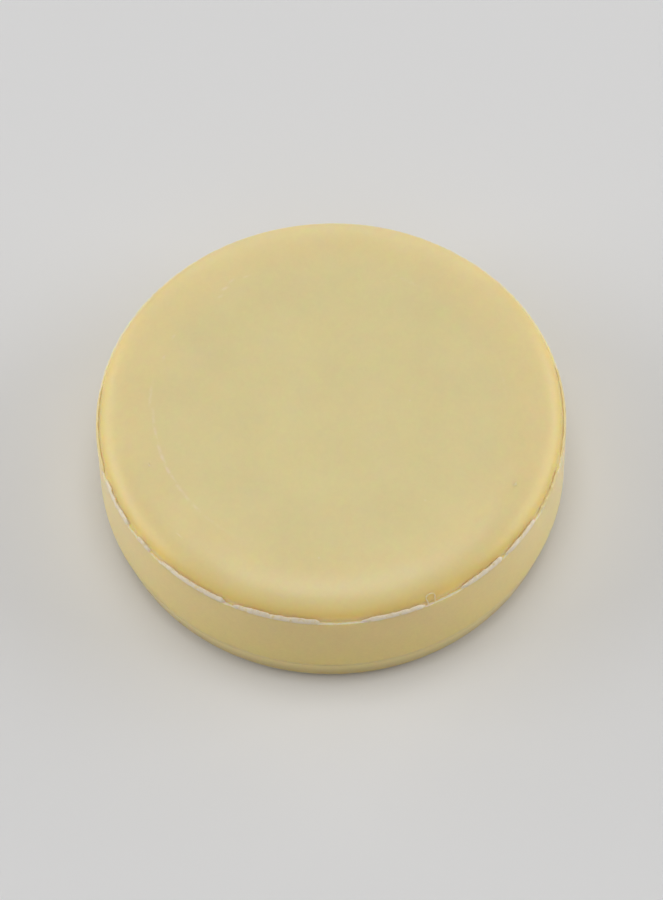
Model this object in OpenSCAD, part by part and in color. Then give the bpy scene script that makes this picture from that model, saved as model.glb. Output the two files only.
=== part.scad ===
// Shaving soap puck: one pressed cake of hard soap. Around it stand the thin, broken
// strips of flash that the press squeezed out between its dies, and on it lie a curl
// and two flakes of soap that have come loose.
// The origin is the centre of the face that the cake stands on, and +Z points up
// through the cake. -Y is the side seen from the front.

/* [Cake] */
// Diameter at the upper parting line
cake_d = 72; // [66:1:76]
// Height from the base to the flat top
cake_h = 22.3; // [18:0.1:30]
// Height of the foot, from the base to the lower parting line
foot_h = 6.2; // [4:0.2:8]
// Diameter of the band at the lower parting line, its widest place
band_low_d = 73; // [66:0.5:77]
// How far the foot is set back from the band at the lower parting line
foot_set_back = 0.1; // [0.05:0.05:0.3]
// How much narrower the foot is at its lower edge than at its top, in diameter
foot_taper = 1.5; // [0.5:0.1:3]
// Rounding of the edge that the cake stands on
base_edge_r = 2; // [0.5:0.1:3]

/* [Crown] */
// Height of the crown, from the upper parting line to the flat top
crown_h = 3.4; // [2:0.2:6]
// Width of the ledge that the crown leaves on top of the band
ledge_w = 0.45; // [0.3:0.05:0.8]
// Diameter of the flat middle of the top
flat_d = 55; // [30:1:56]
// Sharpness of the crown's shoulder: a larger value keeps it flat for longer
shoulder_power = 2.5; // [2:0.1:4]

/* [Flash] */
// How far the flash stands out past the band
flash_out = 0.2; // [0.1:0.05:0.3]
// Gap between the flash and the crown at the bottom of the valley
valley_w = 0.08; // [0.05:0.01:0.15]
// Height of the lower parting line's flash ring
foot_flash_h = 0.3; // [0.2:0.05:0.5]
// How far the lower ring stands out past the band
foot_flash_out = 0.12; // [0.05:0.01:0.2]

/* [Shavings] */
// Direction of the curl seen from the middle, in degrees from +X
curl_angle = -66.9; // [-66.9:0.1:-60]
// Length of the curl from the ledge to the top of its loop
curl_h = 1.9; // [1.8:0.1:2.8]
// Outer radius of the curl's loop
curl_r = 0.85; // [0.6:0.05:1]
// Thickness of the curled ribbon
curl_t = 0.25; // [0.2:0.05:0.35]
// Width of the curled ribbon
curl_w = 0.4; // [0.3:0.05:0.5]
// Lean of the curl towards the crown, in degrees
curl_lean = 32; // [24:1:38]
// Thickness of a flake
flake_t = 0.16; // [0.1:0.02:0.3]

/* [Hidden] */
cake_r = cake_d / 2;
foot_top_r = band_low_d / 2 - foot_set_back;
foot_low_r = foot_top_r - foot_taper / 2;
crown_r = cake_r - ledge_w;
flat_r = flat_d / 2;
seam_z = cake_h - crown_h;
shoulder_steps = 30;
edge_steps = 8;
round_sides = 180;
curl_sides = 48;
flake_sides = 32;
overlap = 0.4;
soap_colour = [0.86, 0.80, 0.60];
flash_colour = [0.85, 0.81, 0.72];
shaving_colour = [0.88, 0.84, 0.74];

// Strips of upper flash: name, first and last direction in degrees from +X, and height.
FLASH = [
    ["flash_right_rear", -14, 12, 0.7],
    ["flash_right_side", -31, -18, 0.8],
    ["flash_right", -45, -33, 0.9],
    ["flash_right_front", -59, -46, 1.2],
    ["flash_front_right", -84, -68.5, 1],
    ["flash_front_left", -115, -94, 1.2],
    ["flash_left_front", -136, -117, 0.9],
    ["flash_left_chip", -145, -140, 0.8],
    ["flash_left", -163, -149, 0.9],
    ["flash_left_side", -190, -165, 0.7],
];

// Flakes that lie on the top: name, distance from the middle, direction in degrees
// from +X, length and width.
FLAKES = [
    ["flake_left", 29.2, -160, 0.8, 0.45],
    ["flake_right", 31, -29, 0.9, 0.5],
];

// Points of the crown's outline, from the parting line up to the flat top. Seen as
// a turn a from 0 to 90 degrees, the height is crown_h * cos(a) over the parting line
// and the way out from the flat's edge to the ledge is the power of sin(a) below.
function crown_points() = [
    for (i = [shoulder_steps:-1:0])
        let (a = 90 * i / shoulder_steps)
        [flat_r + (crown_r - flat_r) * pow(sin(a), 2 / shoulder_power),
         seam_z + crown_h * cos(a)]
];

// Height of the top at a distance from the middle, by the same outline.
function top_z(distance) =
    seam_z + crown_h
        * sqrt(1 - pow(max(0, distance - flat_r) / (crown_r - flat_r), shoulder_power));

// Points of the rounded edge that the cake stands on.
function base_edge_points() = [
    for (i = [0:edge_steps])
        let (a = 90 * i / edge_steps)
        [foot_low_r - base_edge_r * (1 - sin(a)), base_edge_r * (1 - cos(a))]
];

// The whole cake: foot, band and crown turned about the Z axis.
module cake_solid() {
    rotate_extrude($fn = round_sides)
        polygon(concat(
            [[0, 0]],
            base_edge_points(),
            [[foot_top_r, foot_h], [band_low_d / 2, foot_h], [cake_r, seam_z]],
            crown_points(),
            [[0, cake_h]]
        ));
}

// A ring sector with a slanted inner side, standing on the ledge: wide at its foot
// and thinner at its lip, as the soap squeezed out between the dies is.
module flash_strip(first, last, height) {
    foot_in = crown_r + valley_w;
    lip_w = (cake_r + flash_out - foot_in) / 2;
    color(flash_colour)
        rotate([0, 0, first])
            rotate_extrude(angle = last - first, $fn = round_sides)
                polygon([
                    [foot_in, seam_z],
                    [cake_r + flash_out, seam_z],
                    [cake_r + flash_out, seam_z + height],
                    [cake_r + flash_out - lip_w, seam_z + height],
                ]);
}

// A thin slab with round ends, lying along the rim and cut to the shape of the top.
module flake(distance, direction, length, width) {
    color(shaving_colour)
        difference() {
            rotate([0, 0, direction])
                translate([distance, 0, top_z(distance) - overlap])
                    linear_extrude(overlap + flake_t)
                        union() {
                            square([width, length - width], center = true);
                            for (side = [-1, 1])
                                translate([0, side * (length - width) / 2])
                                    circle(d = width, $fn = flake_sides);
                        }
            cake_solid();
        }
}

module soap_cake() {
    color(soap_colour) cake_solid();
}

// The ring of flash at the lower parting line, seated on the foot and the band.
module foot_flash() {
    color(flash_colour)
        difference() {
            translate([0, 0, foot_h - foot_flash_h])
                cylinder(h = foot_flash_h, r = band_low_d / 2 + foot_flash_out, $fn = round_sides);
            cake_solid();
        }
}

// The side of the curl's ribbon: a half ring on two straight legs, which run on below
// the ledge so that they can be cut off level with it.
module curl_outline() {
    loop_y = curl_h - curl_r;
    inner_r = curl_r - curl_t;
    difference() {
        union() {
            translate([0, loop_y]) circle(r = curl_r, $fn = curl_sides);
            translate([-curl_r, -overlap]) square([2 * curl_r, loop_y + overlap]);
        }
        translate([0, loop_y]) circle(r = inner_r, $fn = curl_sides);
        translate([-inner_r, -2 * overlap]) square([2 * inner_r, loop_y + 2 * overlap]);
    }
}

// A narrow loop of ribbon with its two ends on the ledge, leaning on the crown.
module curl() {
    color(shaving_colour)
        difference() {
            rotate([0, 0, curl_angle])
                translate([cake_r - curl_w / 2, 0, seam_z])
                    rotate([0, -curl_lean, 0])
                        rotate([90, 0, 90])
                            translate([0, 0, -curl_w / 2])
                                linear_extrude(curl_w) curl_outline();
            cake_solid();
            cylinder(h = seam_z, r = cake_d, $fn = round_sides);
        }
}

soap_cake();
foot_flash();
curl();
for (f = FLASH)
    flash_strip(f[1], f[2], f[3]);
for (f = FLAKES)
    flake(f[1], f[2], f[3], f[4]);
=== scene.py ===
"""A round pressed cake of shaving soap with its flash and loose shavings, on a pale floor.

The cake has a low crown, a straight band and a short foot, which the press formed with
two dies and a collar. Soap squeezed out between them stands as thin, broken strips on
the upper seam and as a fine ring on the lower one. A curl and two flakes lie on it.
"""

import math

import bpy
import numpy as np
from bpy.props import FloatProperty, FloatVectorProperty, IntProperty, PointerProperty
from bpy.types import Operator, Panel, PropertyGroup
from mathutils import Matrix, Vector


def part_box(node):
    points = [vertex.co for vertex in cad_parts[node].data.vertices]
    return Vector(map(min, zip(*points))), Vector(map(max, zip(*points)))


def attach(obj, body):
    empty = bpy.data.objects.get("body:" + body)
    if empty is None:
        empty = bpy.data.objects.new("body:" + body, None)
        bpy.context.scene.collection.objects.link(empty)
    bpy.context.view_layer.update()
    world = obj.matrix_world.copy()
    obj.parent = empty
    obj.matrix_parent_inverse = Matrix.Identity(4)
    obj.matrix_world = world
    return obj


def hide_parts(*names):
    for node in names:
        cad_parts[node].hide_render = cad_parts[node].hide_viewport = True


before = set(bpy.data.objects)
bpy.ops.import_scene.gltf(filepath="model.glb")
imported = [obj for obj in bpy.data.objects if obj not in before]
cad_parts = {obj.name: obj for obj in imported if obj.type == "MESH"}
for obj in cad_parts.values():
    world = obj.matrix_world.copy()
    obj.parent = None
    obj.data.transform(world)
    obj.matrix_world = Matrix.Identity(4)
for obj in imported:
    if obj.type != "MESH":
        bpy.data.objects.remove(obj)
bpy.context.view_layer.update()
CAKE_LOW, CAKE_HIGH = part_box("soap_cake")

bl_info = {
    "name": "Shaving soap puck",
    "version": (1, 0, 0),
    "blender": (4, 5, 0),
    "location": "3D View > Sidebar > Soap puck",
    "description": "Builds a pressed cake of shaving soap with flash and shavings",
    "category": "Object",
}

MM = 0.001
TURN = 2 * math.pi
CAKE_STEPS = 720  # points round the cake
NEAR_AXIS = 0.4 * MM  # radius of the last ring before the axis
SEAM_ROUND = 0.1 * MM  # rounding of the band's upper edge

# Strips of flash on the upper seam. For each CAD strip: the first and last direction in
# degrees from +X, the height in millimetres, how ragged its edge is, and its finish.
FLASH_STRIPS = {
    "flash_right_rear": (-14, 12, 0.5, 0.35, "waxy_lip"),
    "flash_right_side": (-31, -18, 0.65, 0.8, "waxy_lip"),
    "flash_right": (-45, -33, 0.8, 0.4, "dry_flash"),
    "flash_right_front": (-59, -46, 0.95, 0.6, "dry_flash"),
    "flash_front_right": (-84, -68.5, 0.75, 0.7, "dry_flash"),
    "flash_front_left": (-115, -94, 0.95, 0.45, "dry_flash"),
    "flash_left_front": (-136, -117, 0.8, 0.45, "dry_flash"),
    "flash_left_chip": (-145, -140, 0.7, 0.6, "dry_flash"),
    "flash_left": (-163, -149, 0.75, 0.6, "dry_flash"),
    "flash_left_side": (-190, -165, 0.55, 0.35, "waxy_lip"),
}

# Flakes on the top. For each CAD flake: its distance from the middle, its direction in
# degrees from +X, and its length and width, in millimetres.
FLAKES = {
    "flake_left": (29.2, -160, 0.75, 0.4),
    "flake_right": (31.0, -29, 0.9, 0.5),
}

# Scuffs that the rim of the upper die leaves on the top, clear on the left and faint
# elsewhere. For each: its distance from the axis in millimetres, its direction in degrees
# from +X, half its width in millimetres, half its angle in degrees, and its strength.
DIE_SCUFFS = (
    (27.0, -158.0, 0.42, 42.0, 0.9),
    (27.5, 175.0, 0.4, 7.0, 0.9),
    (27.0, 161.0, 0.35, 1.8, 0.9),
    (27.2, 152.0, 0.35, 1.6, 0.7),
    (26.2, 130.0, 0.4, 2.0, 0.8),
    (26.9, 126.5, 0.45, 2.2, 0.9),
    (27.4, 123.0, 0.4, 2.2, 0.8),
    (26.9, 118.0, 0.35, 2.6, 0.5),
    (25.4, 62.0, 0.5, 10.0, 0.35),
    (26.7, 8.0, 0.4, 14.0, 0.3),
)

# Short nicks and flecks on the top, in the same terms.
NICKS = (
    (31.8, -136.0, 0.18, 1.6, 0.8),
    (26.8, -95.0, 0.28, 0.6, 0.8),
    (22.2, -52.0, 0.25, 0.6, 0.8),
    (12.1, 0.0, 0.25, 1.2, 0.8),
)


# Sizes and colours that a user would change


def length_setting(name, millimetres, description):
    """A length shown in the scene's units, given here in millimetres."""
    return FloatProperty(
        name=name, description=description, default=millimetres * MM,
        min=0.0, precision=5, subtype="DISTANCE", unit="LENGTH",
    )


def colour_setting(name, colour, description):
    """A linear colour from 0 to 1."""
    return FloatVectorProperty(
        name=name, description=description, default=colour,
        min=0.0, max=1.0, subtype="COLOR", size=3,
    )


def light_setting(name, power, description):
    """The power of a light, in watts."""
    return FloatProperty(
        name=name, description=description, default=power, min=0.0, unit="POWER"
    )


class PressedCakeSizes(PropertyGroup):
    """Sizes of the pressed cake."""

    height: FloatProperty(
        name="Height", description="From the base to the flat top",
        default=CAKE_HIGH.z, min=0.0, precision=5, subtype="DISTANCE", unit="LENGTH",
    )
    widest_radius: FloatProperty(
        name="Widest radius", description="Radius of the band at the lower seam",
        default=CAKE_HIGH.x, min=0.0, precision=5, subtype="DISTANCE", unit="LENGTH",
    )
    seam_radius: length_setting("Seam radius", 36.0, "Radius of the band at the upper seam")
    crown_radius: length_setting("Crown radius", 35.55, "Radius of the crown on the ledge")
    flat_radius: length_setting("Flat radius", 27.5, "Radius of the flat middle of the top")
    crown_height: length_setting("Crown height", 3.4, "From the upper seam to the flat top")
    foot_height: length_setting("Foot height", 6.2, "From the base to the lower seam")
    foot_top_radius: length_setting("Foot top radius", 36.4, "Radius under the lower seam")
    foot_low_radius: length_setting("Foot low radius", 35.65, "Radius over the rounded edge")
    edge_radius: length_setting("Edge radius", 2.0, "Rounding of the edge on the floor")
    shoulder_power: FloatProperty(
        name="Shoulder power", description="A larger value keeps the shoulder flat for longer",
        default=2.5, min=1.0, max=6.0,
    )
    waviness: length_setting("Waviness", 0.03, "How far the pressed faces wander")
    seam_wear: length_setting("Seam wear", 0.06, "How far the seam's edge wanders")


class FlashSizes(PropertyGroup):
    """Sizes of the flash and of the loose shavings."""

    bite: length_setting("Bite", 0.27, "How far a strip's foot runs into the crown")
    overhang: length_setting("Overhang", 0.03, "How far a strip stands out past the band")
    lip: length_setting("Lip", 0.26, "Thickness of a strip near its broken edge")
    foot_bead: length_setting("Foot bead", 0.12, "Radius of the ring on the lower seam")
    curl_radius: length_setting("Curl radius", 0.7, "Radius of the curl's loop, to its middle")
    curl_length: length_setting("Curl length", 1.75, "From the ledge to the top of the loop")
    curl_thickness: length_setting("Curl thickness", 0.19, "Thickness of the curled ribbon")
    curl_width: length_setting("Curl width", 0.3, "Width of the curled ribbon")
    curl_direction: FloatProperty(
        name="Curl direction", description="Direction of the curl, seen from the middle",
        default=math.radians(-66.9), subtype="ANGLE", unit="ROTATION",
    )
    curl_lean: FloatProperty(
        name="Curl lean", description="Lean of the curl towards the crown",
        default=math.radians(32), subtype="ANGLE", unit="ROTATION",
    )
    flake_thickness: length_setting("Flake thickness", 0.15, "Thickness of a flake")
    seed: IntProperty(
        name="Seed", description="Another number breaks the flash in other places", default=7
    )


class SoapColours(PropertyGroup):
    """Colours of the soap, its flash and the floor."""

    top: colour_setting("Top", (0.845, 0.724, 0.382), "Soap on the crown")
    middle: colour_setting("Middle", (0.828, 0.722, 0.384), "Soap in the flat middle of the top")
    # Band and band low are partly the soap's own tone and partly painted shade: the band is more
    # saturated than the crown and darker towards its foot, as the side wall gets less light.
    band: colour_setting("Band", (0.870, 0.685, 0.270), "Soap at the top of the band")
    band_low: colour_setting("Band low", (0.850, 0.665, 0.225), "Soap at the foot of the band")
    # The foot colour is painted shade: the dark of the rounded underside near the floor.
    foot: colour_setting("Foot", (0.500, 0.370, 0.105), "Soap at the lower edge of the foot")
    # The valley colour is painted shade and warm bounce light in the valley under the crown.
    valley_shade: colour_setting("Valley shade", (0.890, 0.620, 0.120), "Soap in the valley under the crown")
    dry: colour_setting("Dry", (0.920, 0.800, 0.620), "Soap that has dried white")
    lip: colour_setting("Lip", (0.860, 0.700, 0.340), "Thin flash that light shines through")
    floor: colour_setting("Floor", (0.805, 0.802, 0.802), "The pale floor")


class StageSettings(PropertyGroup):
    """The camera and the strength of the lights."""

    lens: FloatProperty(name="Lens", description="Focal length in millimetres", default=100.0)
    distance: length_setting("Distance", 401.9, "From the camera to the point it looks at")
    look_side: FloatProperty(
        name="Look side", description="Sideways place of the point looked at",
        default=-0.041 * MM, subtype="DISTANCE", unit="LENGTH",
    )
    look_back: length_setting("Look back", 4.885, "How far behind the middle the camera looks")
    elevation: FloatProperty(
        name="Elevation", description="Height of the camera over the horizon",
        default=math.radians(59.254), subtype="ANGLE", unit="ROTATION",
    )
    roll: FloatProperty(
        name="Roll", description="Turn of the camera about its own line of sight",
        default=math.radians(-1.589), subtype="ANGLE", unit="ROTATION",
    )
    overhead: light_setting("Overhead", 6.4, "Light from straight above")
    sides: light_setting("Sides", 6.6, "Light from each side")
    sides_low: light_setting("Sides low", 2.3, "Light from low behind on each side")
    back_low: light_setting("Back low", 1.8, "Light from low behind")
    front_high: light_setting("Front high", 1.7, "Light from above and in front")
    room: FloatProperty(
        name="Room", description="Even light from all round", default=0.165, min=0.0,
    )


# Shapes


def smooth_step(value, start, end):
    """0 up to start, 1 from end on, and between them 3t^2 - 2t^3 of the share t."""
    t = np.clip((value - start) / (end - start), 0, 1)
    return t * t * (3 - 2 * t)


def wander(angle, fewest, most, seed):
    """Wander round the cake, about -1 to 1: the sum of cosines with each whole number of
    waves per turn from fewest to most, each at a seeded phase, over its usual size."""
    counts = np.arange(fewest, most + 1)
    phases = np.random.default_rng(seed).uniform(0, TURN, counts.size)
    waves = np.cos(np.asarray(angle)[..., None] * counts + phases).sum(-1)
    return np.clip(waves / math.sqrt(2 * counts.size), -1, 1)


def rolling(angle, along, waves, seed):
    """Gentle rolling of a face, about -1 to 1: the sum of 14 cosines that run both round
    the cake, a whole number of times, and along its outline, each at a seeded phase."""
    rng = np.random.default_rng(seed)
    total = 0
    for _ in range(14):
        around = int(rng.integers(-waves, waves + 1))
        lengthwise = rng.uniform(-waves, waves) / (36 * MM)
        total = total + np.cos(around * angle + lengthwise * along + rng.uniform(0, TURN))
    return np.clip(total / 5, -1, 1)


def signed_volume(points, faces):
    """Sum over the triangles of a corner dotted with the cross of the other two, over 6.
    It is above zero where the faces point outwards."""
    triangles = np.concatenate([faces[:, :3], faces[:, [0, 2, 3]]])
    a, b, c = (points[triangles[:, k]] for k in range(3))
    return float((a * np.cross(b, c)).sum() / 6)


def skin(name, grid, closed_path=False):
    """A closed mesh over a grid of points. Rows follow a path and each row is a closed
    ring, and four neighbours make a face. An open path's ends are closed by a fan of
    faces round the middle of the end ring."""
    rows, ring = grid.shape[:2]
    points = grid.reshape(-1, 3)
    row = np.arange(rows if closed_path else rows - 1)[:, None]
    place = np.arange(ring)[None, :]
    after, beyond = (place + 1) % ring, (row + 1) % rows
    faces = np.stack(
        [row * ring + place, row * ring + after, beyond * ring + after, beyond * ring + place],
        axis=-1,
    ).reshape(-1, 4)
    triangles = np.zeros((0, 3), int)
    if not closed_path:
        start, end = len(points), len(points) + 1
        points = np.concatenate([points, grid[:1].mean(1), grid[-1:].mean(1)])
        first, last = place[0], (rows - 1) * ring + place[0]
        next_first, next_last = after[0], (rows - 1) * ring + after[0]
        triangles = np.concatenate([
            np.stack([np.full(ring, start), next_first, first], 1),
            np.stack([np.full(ring, end), last, next_last], 1),
        ])
    as_quads = np.concatenate([triangles, triangles[:, 2:]], 1)
    if signed_volume(points, np.concatenate([faces, as_quads]).astype(int)) <= 0:
        raise ValueError(f"{name}: its faces point inwards")
    mesh = bpy.data.meshes.new(name)
    mesh.vertices.add(len(points))
    mesh.vertices.foreach_set("co", points.astype(np.float32).ravel())
    corners = np.concatenate([faces.ravel(), triangles.ravel()])
    sides = np.concatenate([np.full(len(faces), 4), np.full(len(triangles), 3)])
    mesh.loops.add(len(corners))
    mesh.loops.foreach_set("vertex_index", corners.astype(np.int32))
    mesh.polygons.add(len(sides))
    starts = np.concatenate([[0], np.cumsum(sides)[:-1]])
    mesh.polygons.foreach_set("loop_start", starts.astype(np.int32))
    mesh.polygons.foreach_set("use_smooth", np.ones(len(sides), bool))
    mesh.update(calc_edges=True)
    mesh.validate()
    return mesh


def add_piece(name, mesh, material, node):
    """Links the mesh as a piece that rides on the cake and stands for a CAD node."""
    piece = bpy.data.objects.new(name, mesh)
    bpy.context.scene.collection.objects.link(piece)
    mesh.materials.append(material)
    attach(piece, "root")
    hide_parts(node)
    return piece


def cylindrical(distance, angle, height):
    """Points from their distance from the axis, their angle round it and their height."""
    return np.stack(
        np.broadcast_arrays(distance * np.cos(angle), distance * np.sin(angle), height), -1
    )


def crown_z(distance, sizes):
    """Height of the top at a distance from the axis: flat in the middle, then the root of
    1 less the share of the way to the crown's edge raised to the shoulder power."""
    way = (distance - sizes.flat_radius) / (sizes.crown_radius - sizes.flat_radius)
    fall = 1 - np.clip(way, 0, 1) ** sizes.shoulder_power
    return sizes.height - sizes.crown_height * (1 - np.sqrt(fall))


def cake_outline(sizes):
    """Half outline of the cake from the middle of its base to the middle of its top: a
    flat base, a quarter turn, the foot, the lower seam, the band, the ledge with a small
    round on its edge, the crown's shoulder and the flat top."""
    seam_z = sizes.height - sizes.crown_height
    quarter = np.linspace(0, math.pi / 2, 12)
    inside = sizes.foot_low_radius - sizes.edge_radius
    base = np.stack([np.linspace(NEAR_AXIS, inside, 12), np.zeros(12)], 1)
    edge = np.stack([
        inside + sizes.edge_radius * np.sin(quarter),
        sizes.edge_radius * (1 - np.cos(quarter)),
    ], 1)[1:]
    rise = np.linspace(0, 1, 14)[1:, None]
    foot = edge[-1] + rise * (np.array([sizes.foot_top_radius, sizes.foot_height]) - edge[-1])
    under_band = np.array([[sizes.widest_radius - 0.02 * MM, sizes.foot_height]])
    climb = np.linspace(0, 1, 29)[:, None]
    band_low = np.array([sizes.widest_radius, sizes.foot_height + 0.03 * MM])
    band_top = np.array([sizes.seam_radius, seam_z - SEAM_ROUND])
    band = band_low + climb * (band_top - band_low)
    corner = np.linspace(0, math.pi / 2, 4)[1:]
    ledge_edge = np.stack([
        sizes.seam_radius - SEAM_ROUND * (1 - np.cos(corner)),
        seam_z - SEAM_ROUND * (1 - np.sin(corner)),
    ], 1)
    ledge = np.stack([
        np.linspace(sizes.seam_radius - 0.16 * MM, sizes.crown_radius + 0.04 * MM, 4),
        np.full(4, seam_z),
    ], 1)
    turn = np.linspace(math.pi / 2, 0, 34)[1:]
    reach = sizes.crown_radius - sizes.flat_radius
    crown = np.stack([
        sizes.flat_radius + reach * np.sin(turn) ** (2 / sizes.shoulder_power),
        seam_z + sizes.crown_height * np.cos(turn),
    ], 1)
    flat = np.linspace(sizes.flat_radius, NEAR_AXIS, 22)[1:]
    top = np.stack([flat, np.full(flat.size, sizes.height)], 1)
    return np.concatenate([base, edge, foot, under_band, band, ledge_edge, ledge, crown, top])


def cake_surface(sizes):
    """The outline turned about the axis, then moved along its own normal by a gentle
    rolling that fades out on the base and at the axis, and by a finer wander that is
    strongest at the upper seam's edge."""
    outline = cake_outline(sizes)
    along = np.concatenate([[0], np.cumsum(np.linalg.norm(np.diff(outline, axis=0), axis=1))])
    slope = np.gradient(outline, axis=0)
    slope /= np.linalg.norm(slope, axis=1)[:, None]
    normal = np.stack([slope[:, 1], -slope[:, 0]], 1)
    angle = np.linspace(0, TURN, CAKE_STEPS, endpoint=False)[None, :]
    radius, height = outline[:, :1], outline[:, 1:]
    seam_z = sizes.height - sizes.crown_height
    off_base = smooth_step(height, 0.2 * MM, 2.5 * MM)
    off_axis = smooth_step(radius, 1 * MM, 9 * MM)
    move = sizes.waviness * off_base * off_axis * rolling(angle, along[:, None], 9, 3)
    near_seam = np.exp(-(((height - seam_z) / (0.5 * MM)) ** 2)) * (radius > 35.6 * MM)
    move = move + sizes.seam_wear * near_seam * wander(angle, 30, 260, 11)
    return cylindrical(radius + normal[:, :1] * move, angle, height + normal[:, 1:] * move)


def flash_surface(sizes, flash, first, last, high, ragged, seed):
    """A broken strip of flash: a section carried round the ledge. The section is an
    ellipse's upper half on a flat foot sunk in the ledge, wide at its foot and thin at
    its lip. Its height is cut down by the pointed peaks and notches of two wanders, and
    falls to nothing at both ends."""
    steps = int((last - first) * 8)
    share = np.linspace(0, 1, steps)[:, None]
    angle = np.radians(first + share * (last - first))
    section = np.linspace(0, -TURN, 18, endpoint=False)[None, :]
    seam_z = sizes.height - sizes.crown_height
    span = last - first
    round_ends = np.clip(np.minimum(share * span / 2.6, (1 - share) * span / 1.0), 0, 1) ** 0.7
    peaks = 1 - np.abs(wander(angle, 15, 80, seed)) * 1.2
    nicks = np.clip(wander(angle, 90, 300, seed + 1), -0.3, 1)
    tall = high * MM * (1 - ragged * (1 - peaks) * 0.8 - 0.22 * ragged * nicks)
    tall = np.clip(tall, 0.12 * MM, None) * round_ends + 0.01 * MM
    inner = sizes.crown_radius - flash.bite
    outer = sizes.seam_radius + flash.overhang * (0.5 + 0.5 * wander(angle, 12, 60, seed + 2))
    rise = np.maximum(np.sin(section), -0.12)
    up = np.clip(rise, 0, 1) ** 0.8 * np.sign(rise) + np.minimum(rise, 0)
    foot_half, lip_half = (outer - inner) / 2, flash.lip / 2
    half = foot_half + (lip_half - foot_half) * np.clip(rise, 0, 1)
    middle = (outer + inner) / 2 + (outer - inner) * 0.05 * np.clip(rise, 0, 1)
    sway = 0.07 * MM * wander(angle, 30, 110, seed + 3) * np.clip(rise, 0, 1)
    distance = middle + sway + half * np.cos(section) * (0.2 + 0.8 * round_ends)
    return cylindrical(distance, angle, seam_z + tall * up)


def lower_ring_surface(sizes, flash, seed):
    """A fine ring of flash on the lower seam: a small round section carried all the way
    round, whose thickness and height wander, so that it shows as a broken line. It is
    thickest at the front and under half as thick at the sides and the back."""
    angle = np.linspace(0, TURN, 900, endpoint=False)[:, None]
    section = np.linspace(0, -TURN, 8, endpoint=False)[None, :]
    front = smooth_step(-np.sin(angle), 0.3, 0.9)
    thick = flash.foot_bead * (0.75 + 0.3 * wander(angle, 20, 200, seed)) * (0.45 + 0.55 * front)
    distance = sizes.widest_radius - 0.05 * MM + thick * np.cos(section)
    height = sizes.foot_height - 0.02 * MM + thick * 0.9 * np.sin(section)
    height = height + 0.05 * MM * wander(angle, 6, 40, seed + 1)
    return cylindrical(distance, angle, height)


def curl_surface(sizes, flash):
    """A loop of ribbon: a rounded oblong section carried up one leg, round half a turn
    and down the other leg, in a plane that leans on the crown. The legs bow a little,
    and the ribbon narrows to its ends."""
    leg = flash.curl_length - flash.curl_radius
    bend = math.pi * flash.curl_radius
    way = np.linspace(-leg - bend / 2, leg + bend / 2, 90)[:, None]
    turn = np.clip(way / flash.curl_radius, -math.pi / 2, math.pi / 2)
    below = np.clip(np.abs(way) - bend / 2, 0, None)
    across = flash.curl_radius * np.sin(turn)
    upward = leg - below + flash.curl_radius * np.cos(turn)
    across = across * (1 - 0.14 * below / leg) + 0.09 * MM * np.sin(5 * way / flash.curl_length)
    slope = np.stack([np.gradient(across[:, 0]), np.gradient(upward[:, 0])], 1)
    slope /= np.linalg.norm(slope, axis=1)[:, None]
    narrow = 0.55 + 0.45 * smooth_step(flash.curl_length * 1.35 - np.abs(way), 0, 1.2 * MM)
    section = np.linspace(0, TURN, 12, endpoint=False)[None, :]
    over, aside = np.cos(section), np.sin(section)
    thick = flash.curl_thickness / 2 * narrow * np.sign(over) * np.abs(over) ** 0.7
    wide = flash.curl_width / 2 * narrow * np.sign(aside) * np.abs(aside) ** 0.7
    sideways = across - slope[:, 1:] * thick
    upward = upward + slope[:, :1] * thick
    lean, at = flash.curl_lean, flash.curl_direction
    outward = wide * math.cos(lean) - upward * math.sin(lean)
    lift = wide * math.sin(lean) + upward * math.cos(lean)
    foot = sizes.seam_radius - flash.curl_width / 2
    seam_z = sizes.height - sizes.crown_height
    out_line = np.array([math.cos(at), math.sin(at), 0])
    side_line = np.array([-math.sin(at), math.cos(at), 0])
    up_line = np.array([0, 0, 1])
    return (
        (foot + outward)[..., None] * out_line
        + sideways[..., None] * side_line
        + (seam_z - 0.05 * MM + lift)[..., None] * up_line
    )


def flake_surface(sizes, flash, distance, direction, length, width, seed):
    """A thin shaving on the top: rings run out over an oval of uneven outline and back,
    and its upper side swells as 1 less the fourth power of the way out, tilted a little
    so that one long edge stands proud. It follows the height of the top under it."""
    ring_angle = np.linspace(0, -TURN, 40, endpoint=False)[None, :]
    out = np.concatenate([np.linspace(0.08, 1, 8), np.linspace(0.99, 0.06, 9)])[:, None]
    upper = np.concatenate([np.zeros(8), np.ones(9)])[:, None]
    uneven = 1 + 0.16 * wander(ring_angle, 2, 7, seed)
    along = length * MM / 2 * out * np.cos(ring_angle) * uneven
    across = width * MM / 2 * out * np.sin(ring_angle) * uneven
    bow = 0.12 * width * MM * np.cos(math.pi * along / (length * MM))
    reach = distance * MM + across + bow
    angle = math.radians(direction) + along / (distance * MM)
    swell = upper * (1 - out ** 4) * (0.8 + 0.4 * across / (width * MM))
    sunk = -0.05 * MM * (1 - upper) * (1 - out ** 2) - 0.01 * MM
    height = crown_z(reach, sizes) + flash.flake_thickness * swell + sunk
    return cylindrical(reach, angle + 0 * reach, height)


# Finishes


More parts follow.
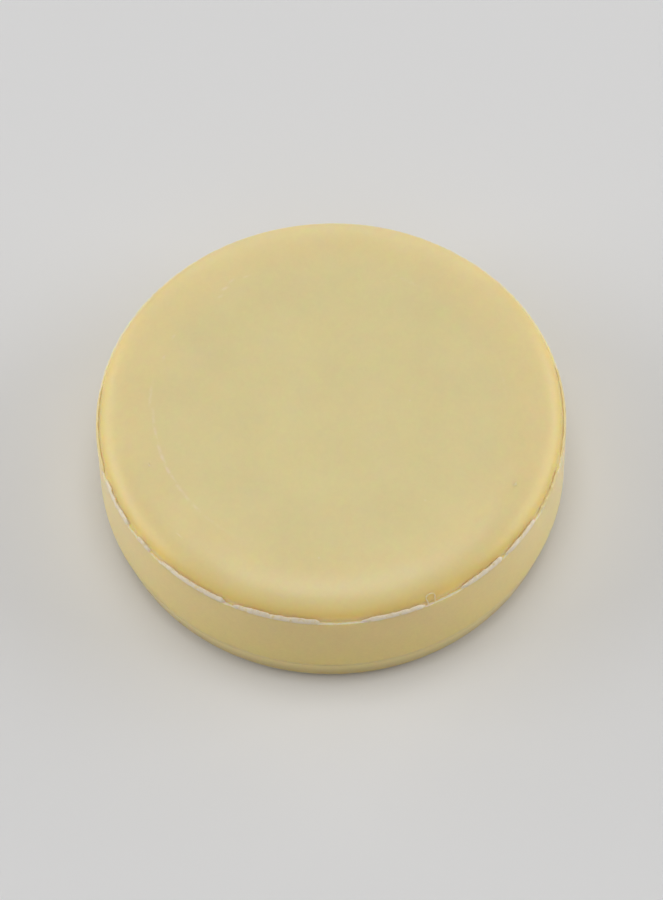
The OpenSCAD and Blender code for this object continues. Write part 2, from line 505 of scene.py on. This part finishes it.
class Bench:
    """Lays nodes in one node tree and joins them up. A value is a socket or a number."""

    def __init__(self, tree):
        self.tree = tree

    def node(self, kind, **settings):
        made = self.tree.nodes.new(kind)
        for name, value in settings.items():
            setattr(made, name, value)
        return made

    def put(self, socket, value):
        if isinstance(value, bpy.types.NodeSocket):
            self.tree.links.new(value, socket)
        else:
            socket.default_value = value

    def calc(self, operation, *values, clamp=False):
        made = self.node("ShaderNodeMath", operation=operation, use_clamp=clamp)
        for socket, value in zip(made.inputs, values):
            self.put(socket, value)
        return made.outputs[0]

    def ease(self, value, start, end, low=0.0, high=1.0):
        """low up to start and high from end on, with a smooth step between."""
        made = self.node("ShaderNodeMapRange", interpolation_type="SMOOTHSTEP")
        for name, given in (
            ("Value", value), ("From Min", start), ("From Max", end),
            ("To Min", low), ("To Max", high),
        ):
            self.put(made.inputs[name], given)
        return made.outputs["Result"]

    def window(self, value, middle, half):
        """1 at the middle, falling smoothly to 0 at half to each side of it."""
        away = self.calc("ABSOLUTE", self.calc("SUBTRACT", value, middle))
        return self.ease(self.calc("DIVIDE", away, half), 0.0, 1.0, 1.0, 0.0)

    def blend(self, share, one, other, mode="MIX"):
        made = self.node("ShaderNodeMix", data_type="RGBA", blend_type=mode)
        self.put(made.inputs["Factor"], share)
        colours = [s for s in made.inputs if s.type == "RGBA"]
        for socket, colour in zip(colours, (one, other)):
            self.put(socket, colour if isinstance(colour, bpy.types.NodeSocket) else (*colour, 1.0))
        return [s for s in made.outputs if s.type == "RGBA"][0]

    def noise(self, place, size, detail=3.0, roughness=0.5):
        """Noise whose waves are about size metres across, from 0 to 1."""
        made = self.node("ShaderNodeTexNoise")
        self.put(made.inputs["Vector"], place)
        self.put(made.inputs["Scale"], 1 / size)
        self.put(made.inputs["Detail"], detail)
        self.put(made.inputs["Roughness"], roughness)
        return made.outputs["Fac"]

    def group(self, tree, **values):
        made = self.node("ShaderNodeGroup")
        made.node_tree = tree
        for name, value in values.items():
            self.put(made.inputs[name.replace("_", " ")], value)
        return made


def new_group(name, inputs, outputs):
    """An empty node group with named sockets, and a bench to lay its nodes on."""
    tree = bpy.data.node_groups.new(name, "ShaderNodeTree")
    for title, kind in inputs:
        tree.interface.new_socket(title, in_out="INPUT", socket_type=kind)
    for title, kind in outputs:
        tree.interface.new_socket(title, in_out="OUTPUT", socket_type=kind)
    bench = Bench(tree)
    return tree, bench, bench.node("NodeGroupInput"), bench.node("NodeGroupOutput")


def place_on_cake_group():
    """Distance from the axis and height in millimetres, and direction in degrees."""
    tree, bench, given, put_out = new_group(
        "place_on_cake", [("Place", "NodeSocketVector")],
        [(n, "NodeSocketFloat") for n in ("Distance", "Direction", "Height")],
    )
    parts = bench.node("ShaderNodeSeparateXYZ")
    bench.put(parts.inputs[0], given.outputs["Place"])
    x, y, z = parts.outputs
    square = bench.calc("ADD", bench.calc("MULTIPLY", x, x), bench.calc("MULTIPLY", y, y))
    distance = bench.calc("MULTIPLY", bench.calc("SQRT", square), 1000.0)
    direction = bench.calc("MULTIPLY", bench.calc("ARCTAN2", y, x), 180 / math.pi)
    bench.put(put_out.inputs["Distance"], distance)
    bench.put(put_out.inputs["Direction"], direction)
    bench.put(put_out.inputs["Height"], bench.calc("MULTIPLY", z, 1000.0))
    return tree


def soap_grain_group():
    """The fine grain of pressed soap: a height of small pits and pores, and a shade that
    clouds the colour from -1 to 1."""
    tree, bench, given, put_out = new_group(
        "soap_grain", [("Place", "NodeSocketVector"), ("Coarse", "NodeSocketFloat")],
        [("Pits", "NodeSocketFloat"), ("Clouds", "NodeSocketFloat")],
    )
    place = given.outputs["Place"]
    fine = bench.noise(place, 0.35 * MM, 4.0, 0.6)
    broad = bench.noise(place, 2.2 * MM, 3.0, 0.5)
    fine = bench.calc("MULTIPLY", fine, given.outputs["Coarse"])
    pits = bench.calc("ADD", fine, bench.calc("MULTIPLY", broad, 0.6))
    large = bench.calc("SUBTRACT", bench.noise(place, 11 * MM, 3.0, 0.55), 0.5)
    small = bench.calc("SUBTRACT", bench.noise(place, 1.6 * MM, 2.0, 0.5), 0.5)
    clouds = bench.calc(
        "ADD", bench.calc("MULTIPLY", large, 2.0), bench.calc("MULTIPLY", small, 0.6)
    )
    bench.put(put_out.inputs["Pits"], pits)
    bench.put(put_out.inputs["Clouds"], clouds)
    return tree


def dry_bloom_group():
    """Where soap has dried white: patches of noise, wider as Amount rises to 1."""
    tree, bench, given, put_out = new_group(
        "dry_bloom", [("Place", "NodeSocketVector"), ("Amount", "NodeSocketFloat")],
        [("Mask", "NodeSocketFloat")],
    )
    patches = bench.noise(given.outputs["Place"], 0.8 * MM, 4.0, 0.65)
    edge = bench.calc("SUBTRACT", 0.72, bench.calc("MULTIPLY", given.outputs["Amount"], 0.5))
    mask = bench.ease(patches, edge, bench.calc("ADD", edge, 0.16))
    any_bloom = bench.ease(given.outputs["Amount"], 0.0, 0.1)
    bench.put(put_out.inputs["Mask"], bench.calc("MULTIPLY", mask, any_bloom))
    return tree


def mark_group():
    """A short mark that runs round the top, such as a scratch: a window on the distance
    from the axis times a window on the direction."""
    tree, bench, given, put_out = new_group(
        "mark",
        [(n, "NodeSocketFloat") for n in (
            "Distance", "Direction", "At distance", "At direction", "Half width", "Half angle")],
        [("Mask", "NodeSocketFloat")],
    )
    put = given.outputs
    across = bench.window(put["Distance"], put["At distance"], put["Half width"])
    along = bench.window(put["Direction"], put["At direction"], put["Half angle"])
    bench.put(put_out.inputs["Mask"], bench.calc("MULTIPLY", across, along))
    return tree


def shared_group(name):
    """A node group by name, made the first time that it is asked for."""
    makers = {
        "place_on_cake": place_on_cake_group, "soap_grain": soap_grain_group,
        "dry_bloom": dry_bloom_group, "mark": mark_group,
    }
    return bpy.data.node_groups.get(name) or makers[name]()


def new_finish(name):
    """A material with a bench for its nodes, its shader and the Object coordinates."""
    made = bpy.data.materials.new(name)
    made.use_nodes = True
    tree = made.node_tree
    tree.nodes.clear()
    bench = Bench(tree)
    shader = bench.node("ShaderNodeBsdfPrincipled")
    out = bench.node("ShaderNodeOutputMaterial")
    bench.put(out.inputs["Surface"], shader.outputs["BSDF"])
    place = bench.node("ShaderNodeTexCoord").outputs["Object"]
    return made, bench, shader, place


def waxy_body(shader, depth, share, spread=(1.0, 0.55, 0.14)):
    """Light that enters the soap and comes out up to depth away. Each colour goes as far
    as its share in spread says, which is the farthest for red unless told otherwise."""
    shader.subsurface_method = "RANDOM_WALK"
    shader.inputs["Subsurface Weight"].default_value = share
    shader.inputs["Subsurface Scale"].default_value = depth
    shader.inputs["Subsurface Radius"].default_value = spread
    shader.inputs["IOR"].default_value = 1.46


def pressed_soap(colours):
    """Finish of the cake: waxy and lightly clouded all over, with fine specks that are a
    little stronger on the band, white where the seams have dried, and with light scuffs on
    the top. The band is more saturated than the crown and darker towards its foot, partly
    its own tone and partly painted shade; the valley under the crown is painted amber for
    its shade and bounce light, and the foot is painted dark as shade near the floor.
    Heights and distances are in millimetres and directions in degrees, as place_on_cake
    gives them."""
    made, bench, shader, place = new_finish("pressed_soap")
    waxy_body(shader, 6.0 * MM, 1.0)
    where = bench.group(shared_group("place_on_cake"), Place=place)
    distance, direction, height = (
        where.outputs[n] for n in ("Distance", "Direction", "Height")
    )
    on_band = bench.ease(height, 18.4, 19.3, 1.0, 0.0)
    grain = bench.group(
        shared_group("soap_grain"), Place=place, Coarse=bench.ease(on_band, 0.0, 1.0, 0.25, 0.4)
    )
    in_middle = bench.ease(distance, 24.0, 29.5, 1.0, 0.0)
    colour = bench.blend(in_middle, colours.top, colours.middle)
    # Partly the band's own tone and partly painted shade: more saturated than the crown, and darker
    # towards the foot of the band.
    side = bench.blend(bench.ease(height, 6.0, 17.0), colours.band_low, colours.band)
    # Painted shade: the foot darkens towards the floor, where the rounded underside gets little
    # light.
    side = bench.blend(bench.ease(height, 0.8, 5.6, 1.0, 0.0), side, colours.foot)
    colour = bench.blend(on_band, colour, side)
    # Painted shade and warm bounce light: a saturated amber under the crown's shoulder, in the
    # valley over the seam.
    under_shoulder = bench.ease(height, 19.4, 22.1, 1.0, 0.0)
    over_seam = bench.ease(height, 18.9, 20.0, 0.3, 1.0)
    valley = bench.calc("MULTIPLY", under_shoulder, over_seam)
    valley = bench.calc("MULTIPLY", valley, bench.ease(distance, 35.62, 35.9, 1.0, 0.0))
    colour = bench.blend(bench.calc("MULTIPLY", valley, 0.65), colour, colours.valley_shade)

    def scuff(at, turn, half_width, half_angle, strength):
        mask = bench.group(
            shared_group("mark"), Distance=distance, Direction=direction, At_distance=at,
            At_direction=turn, Half_width=half_width, Half_angle=half_angle,
        ).outputs["Mask"]
        return bench.calc("MULTIPLY", mask, strength)

    break_up = bench.ease(bench.noise(place, 1.3 * MM, 4.0, 0.7), 0.36, 0.62)
    longest, *others = DIE_SCUFFS
    scuffs = scuff(*longest)
    for mark in others:
        scuffs = bench.calc("MAXIMUM", scuffs, scuff(*mark))
    scuffs = bench.calc("MULTIPLY", scuffs, break_up)
    for mark in NICKS:
        scuffs = bench.calc("MAXIMUM", scuffs, scuff(*mark))
    colour = bench.blend(bench.calc("MULTIPLY", scuffs, 0.75), colour, colours.dry)

    on_ledge = bench.ease(distance, 35.6, 35.8)
    seam_bloom = bench.calc("MULTIPLY", bench.window(height, 18.95, 0.3), on_ledge)
    foot_bloom = bench.calc("MULTIPLY", bench.window(height, 6.25, 0.3), 0.15)
    bloom = bench.group(
        shared_group("dry_bloom"), Place=place,
        Amount=bench.calc("MAXIMUM", seam_bloom, foot_bloom),
    ).outputs["Mask"]
    colour = bench.blend(bench.calc("MULTIPLY", bloom, 0.6), colour, colours.dry)
    clouds = bench.calc("MULTIPLY", grain.outputs["Clouds"], 0.045)
    specks = bench.calc("SUBTRACT", bench.noise(place, 0.55 * MM, 3.0, 0.7), 0.5)
    specks = bench.calc("MULTIPLY", specks, bench.ease(on_band, 0.0, 1.0, 0.05, 0.11))
    shade = bench.calc("ADD", bench.calc("ADD", 1.0, clouds), specks)
    shade_colour = bench.node("ShaderNodeCombineColor")
    for socket in shade_colour.inputs:
        bench.put(socket, shade)
    colour = bench.blend(1.0, colour, shade_colour.outputs["Color"], "MULTIPLY")
    bench.put(shader.inputs["Base Color"], colour)
    shader.inputs["Sheen Weight"].default_value = 0.2
    shader.inputs["Sheen Roughness"].default_value = 0.35
    rough = bench.calc("ADD", 0.34, bench.calc("MULTIPLY", clouds, 1.2))
    rough = bench.calc("ADD", rough, bench.calc("MULTIPLY", scuffs, 0.15))
    bench.put(shader.inputs["Roughness"], rough)
    bump = bench.node("ShaderNodeBump")
    bench.put(bump.inputs["Strength"], 0.22)
    bench.put(bump.inputs["Distance"], 0.05 * MM)
    relief = bench.calc("ADD", grain.outputs["Pits"], bench.calc("MULTIPLY", scuffs, 0.6))
    bench.put(bump.inputs["Height"], relief)
    bench.put(shader.inputs["Normal"], bump.outputs["Normal"])
    return made


def thin_soap(name, colour, dry, white):
    """Finish of thin soap, flash or a shaving: dried white in patches over the colour
    that light gives it, with a crumbly surface."""
    made, bench, shader, place = new_finish(name)
    # Even for all colours: a fin this thin would lose the red that reaches the farthest.
    waxy_body(shader, 0.3 * MM, 0.5, spread=(1.0, 0.95, 0.85))
    bloom = bench.group(shared_group("dry_bloom"), Place=place, Amount=white).outputs["Mask"]
    grain = bench.group(shared_group("soap_grain"), Place=place, Coarse=1.0)
    colour = bench.blend(bloom, colour, dry)
    bench.put(shader.inputs["Base Color"], colour)
    bench.put(shader.inputs["Roughness"], bench.ease(bloom, 0.0, 1.0, 0.5, 0.75))
    bump = bench.node("ShaderNodeBump")
    bench.put(bump.inputs["Strength"], 0.4)
    bench.put(bump.inputs["Distance"], 0.05 * MM)
    bench.put(bump.inputs["Height"], grain.outputs["Pits"])
    bench.put(shader.inputs["Normal"], bump.outputs["Normal"])
    return made


def finish_of(name):
    """A finish by name, made the first time that it is asked for."""
    colours = bpy.context.scene.soap_colours
    makers = {
        "pressed_soap": lambda: pressed_soap(colours),
        "dry_flash": lambda: thin_soap("dry_flash", colours.lip, colours.dry, 0.8),
        "waxy_lip": lambda: thin_soap("waxy_lip", colours.lip, colours.dry, 0.3),
        "shaving": lambda: thin_soap("shaving", colours.top, colours.dry, 0.6),
        "pale_floor": lambda: pale_floor(colours),
    }
    return bpy.data.materials.get(name) or makers[name]()


def pale_floor(colours):
    """A plain matt floor whose tone drifts very slightly."""
    made, bench, shader, place = new_finish("pale_floor")
    drift = bench.calc("SUBTRACT", bench.noise(place, 0.12, 2.0), 0.5)
    drift = bench.calc("MULTIPLY", drift, 0.02)
    shade_colour = bench.node("ShaderNodeCombineColor")
    for socket in shade_colour.inputs:
        bench.put(socket, bench.calc("ADD", 1.0, drift))
    colour = bench.blend(1.0, colours.floor, shade_colour.outputs["Color"], "MULTIPLY")
    bench.put(shader.inputs["Base Color"], colour)
    shader.inputs["Roughness"].default_value = 0.75
    shader.inputs["Specular IOR Level"].default_value = 0.25
    return made


# Operators


class SOAP_OT_pressed_cake(Operator):
    """Builds the pressed cake"""

    bl_idname = "soap.pressed_cake"
    bl_label = "Pressed cake"

    def execute(self, context):
        sizes = context.scene.cake_sizes
        mesh = skin("pressed_cake", cake_surface(sizes))
        add_piece("pressed_cake", mesh, finish_of("pressed_soap"), "soap_cake")
        return {"FINISHED"}


class SOAP_OT_upper_flash(Operator):
    """Builds the broken strips of flash on the upper seam"""

    bl_idname = "soap.upper_flash"
    bl_label = "Upper flash"

    def execute(self, context):
        sizes, flash = context.scene.cake_sizes, context.scene.flash_sizes
        for number, (node, strip) in enumerate(FLASH_STRIPS.items()):
            first, last, high, ragged, finish = strip
            seed = flash.seed + 10 * number
            name = node.replace("flash", "seam_strip")
            mesh = skin(name, flash_surface(sizes, flash, first, last, high, ragged, seed))
            add_piece(name, mesh, finish_of(finish), node)
        return {"FINISHED"}


class SOAP_OT_lower_flash(Operator):
    """Builds the fine ring of flash on the lower seam"""

    bl_idname = "soap.lower_flash"
    bl_label = "Lower flash"

    def execute(self, context):
        sizes, flash = context.scene.cake_sizes, context.scene.flash_sizes
        grid = lower_ring_surface(sizes, flash, flash.seed)
        mesh = skin("lower_seam_ring", grid, closed_path=True)
        add_piece("lower_seam_ring", mesh, finish_of("waxy_lip"), "foot_flash")
        return {"FINISHED"}


class SOAP_OT_shavings(Operator):
    """Builds the loose curl and the flakes"""

    bl_idname = "soap.shavings"
    bl_label = "Shavings"

    def execute(self, context):
        sizes, flash = context.scene.cake_sizes, context.scene.flash_sizes
        mesh = skin("loose_curl", curl_surface(sizes, flash))
        add_piece("loose_curl", mesh, finish_of("shaving"), "curl")
        for number, (node, flake) in enumerate(FLAKES.items()):
            name = node.replace("flake", "loose_flake")
            mesh = skin(name, flake_surface(sizes, flash, *flake, flash.seed + number))
            add_piece(name, mesh, finish_of("shaving"), node)
        return {"FINISHED"}


def soft_light(name, place, width, length, power):
    """A large area light at a place, turned to face the cake."""
    lamp = bpy.data.lights.new(name, "AREA")
    lamp.shape, lamp.size, lamp.size_y, lamp.energy = "RECTANGLE", width, length, power
    light = bpy.data.objects.new(name, lamp)
    bpy.context.scene.collection.objects.link(light)
    light.location = place
    light.rotation_euler = (-Vector(place)).to_track_quat("-Z", "Y").to_euler()
    return light


class SOAP_OT_stage(Operator):
    """Builds the floor, the soft lights and the camera"""

    bl_idname = "soap.stage"
    bl_label = "Stage"

    def execute(self, context):
        scene, stage = context.scene, context.scene.stage_settings
        # The floor is a disc: rings of points whose distance grows as the square of their
        # number, joined by four-sided faces, with a fan in the middle.
        reach = (np.linspace(0.02, 1, 40) ** 2 * 4.0)[:, None]
        angle = np.linspace(0, TURN, 96, endpoint=False)[None, :]
        low = cylindrical(reach[::-1], angle, -0.02 + 0 * angle)
        grid = np.concatenate([low[-1:], low[:1], cylindrical(reach[::-1], angle, 0 * angle)])
        floor_mesh = skin("floor", grid)
        floor = bpy.data.objects.new("floor", floor_mesh)
        floor_mesh.materials.append(finish_of("pale_floor"))
        scene.collection.objects.link(floor)

        for name, place, width, length, power in (
            ("overhead_light", (0, 0, 1.5), 0.8, 0.8, stage.overhead),
            ("left_light", (-1.3, 0, 0.6), 0.9, 0.9, stage.sides),
            ("right_light", (1.3, 0, 0.6), 0.9, 0.9, stage.sides),
            ("low_left_light", (-1.08, 0.69, 0.39), 0.7, 0.5, stage.sides_low),
            ("low_right_light", (1.08, 0.69, 0.39), 0.7, 0.5, stage.sides_low),
            ("back_low_light", (0, 1.4, 0.35), 1.4, 0.6, stage.back_low),
            ("front_high_light", (0, -1.0, 1.2), 1.2, 1.0, stage.front_high),
        ):
            soft_light(name, place, width, length, power)
        world = bpy.data.worlds.new("studio")
        scene.world = world
        world.use_nodes = True
        back = world.node_tree.nodes["Background"]
        back.inputs["Color"].default_value = (1.0, 1.0, 1.0, 1.0)
        back.inputs["Strength"].default_value = stage.room

        look = Vector((stage.look_side, stage.look_back, 0))
        back_line = Vector((0, -math.cos(stage.elevation), math.sin(stage.elevation)))
        camera_data = bpy.data.cameras.new("camera")
        camera_data.lens, camera_data.sensor_width = stage.lens, 36.0
        camera_data.clip_start, camera_data.clip_end = 0.01, 20.0
        camera = bpy.data.objects.new("camera", camera_data)
        turn = (-back_line).to_track_quat("-Z", "Y").to_matrix().to_4x4()
        camera.matrix_world = (
            Matrix.Translation(look + back_line * stage.distance)
            @ turn @ Matrix.Rotation(stage.roll, 4, "Z")
        )
        scene.collection.objects.link(camera)
        scene.camera = camera
        scene.view_settings.view_transform = "Standard"
        return {"FINISHED"}


class SOAP_PT_puck(Panel):
    """Lists the operators and the settings of the soap puck"""

    bl_label = "Soap puck"
    bl_space_type = "VIEW_3D"
    bl_region_type = "UI"
    bl_category = "Soap puck"

    def draw(self, context):
        column = self.layout.column()
        for operator in OPERATORS:
            column.operator(operator.bl_idname)
        for settings, kind in SETTINGS.items():
            column.label(text=kind.__doc__)
            for name in kind.__annotations__:
                column.prop(getattr(context.scene, settings), name)


OPERATORS = (
    SOAP_OT_pressed_cake,
    SOAP_OT_upper_flash,
    SOAP_OT_lower_flash,
    SOAP_OT_shavings,
    SOAP_OT_stage,
)
SETTINGS = {
    "cake_sizes": PressedCakeSizes,
    "flash_sizes": FlashSizes,
    "soap_colours": SoapColours,
    "stage_settings": StageSettings,
}


def register():
    for made in (*SETTINGS.values(), *OPERATORS, SOAP_PT_puck):
        bpy.utils.register_class(made)
    for name, settings in SETTINGS.items():
        setattr(bpy.types.Scene, name, PointerProperty(type=settings))


def unregister():
    for name in SETTINGS:
        delattr(bpy.types.Scene, name)
    for made in reversed((*SETTINGS.values(), *OPERATORS, SOAP_PT_puck)):
        bpy.utils.unregister_class(made)


def main():
    """Registers the add-on and builds every piece and the stage."""
    register()
    bpy.ops.soap.pressed_cake()
    bpy.ops.soap.upper_flash()
    bpy.ops.soap.lower_flash()
    bpy.ops.soap.shavings()
    bpy.ops.soap.stage()


if __name__ == "__main__":
    main()
